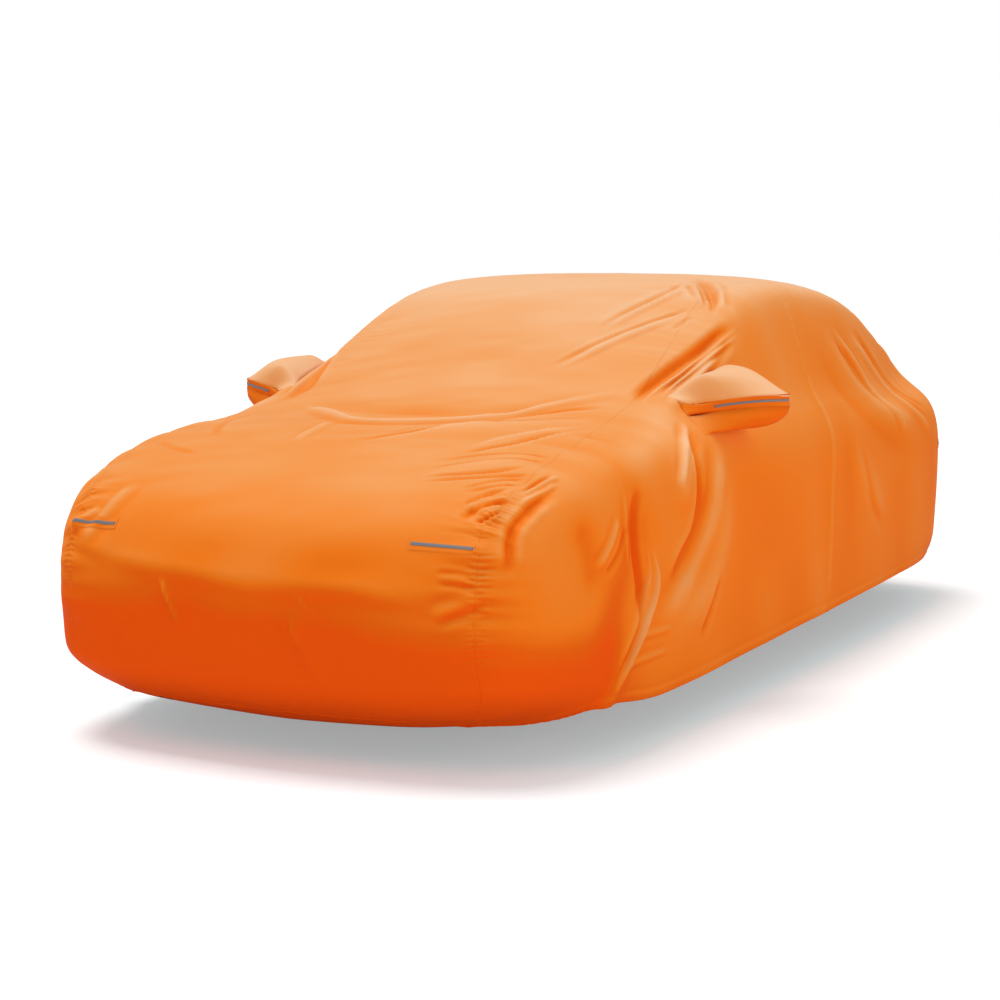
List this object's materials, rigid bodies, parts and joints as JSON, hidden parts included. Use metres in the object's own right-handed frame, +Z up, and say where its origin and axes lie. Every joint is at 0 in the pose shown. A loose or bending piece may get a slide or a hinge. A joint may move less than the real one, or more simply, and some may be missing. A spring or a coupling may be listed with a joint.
{
  "type": "car cover",
  "caption": "Fitted orange cloth cover for a small saloon car, hollow, with mirror pockets, lengthwise seams, a gathered hem and grey reflective strips.",
  "frame": {"origin": "on the inside of the cloth in the middle of the roof, where the car's roof carries the cover", "axes": "+Z up, -Y towards the car's nose, +X towards the car's left-hand mirror"},
  "size_m": [2.0407, 4.417, 1.2367],
  "materials": {
    "cloth": "satin coated polyester, orange",
    "reflective_tape": "woven reflective tape, grey"
  },
  "bodies": {
    "root": {"center_panel": "cloth", "side_front_left": "cloth", "side_front_right": "cloth", "side_rear_left": "cloth", "side_rear_right": "cloth", "mirror_top_left": "cloth", "mirror_top_right": "cloth", "mirror_gusset_left": "cloth", "mirror_gusset_right": "cloth", "mirror_under_left": "cloth", "mirror_under_right": "cloth", "front_patch_left": "cloth", "front_patch_right": "cloth", "rear_patch_left": "cloth", "rear_patch_right": "cloth", "mirror_strip_left": "reflective_tape", "mirror_strip_right": "reflective_tape", "front_strip_left": "reflective_tape", "front_strip_right": "reflective_tape", "rear_strip_left": "reflective_tape", "rear_strip_right": "reflective_tape"}
  },
  "joints": []
}
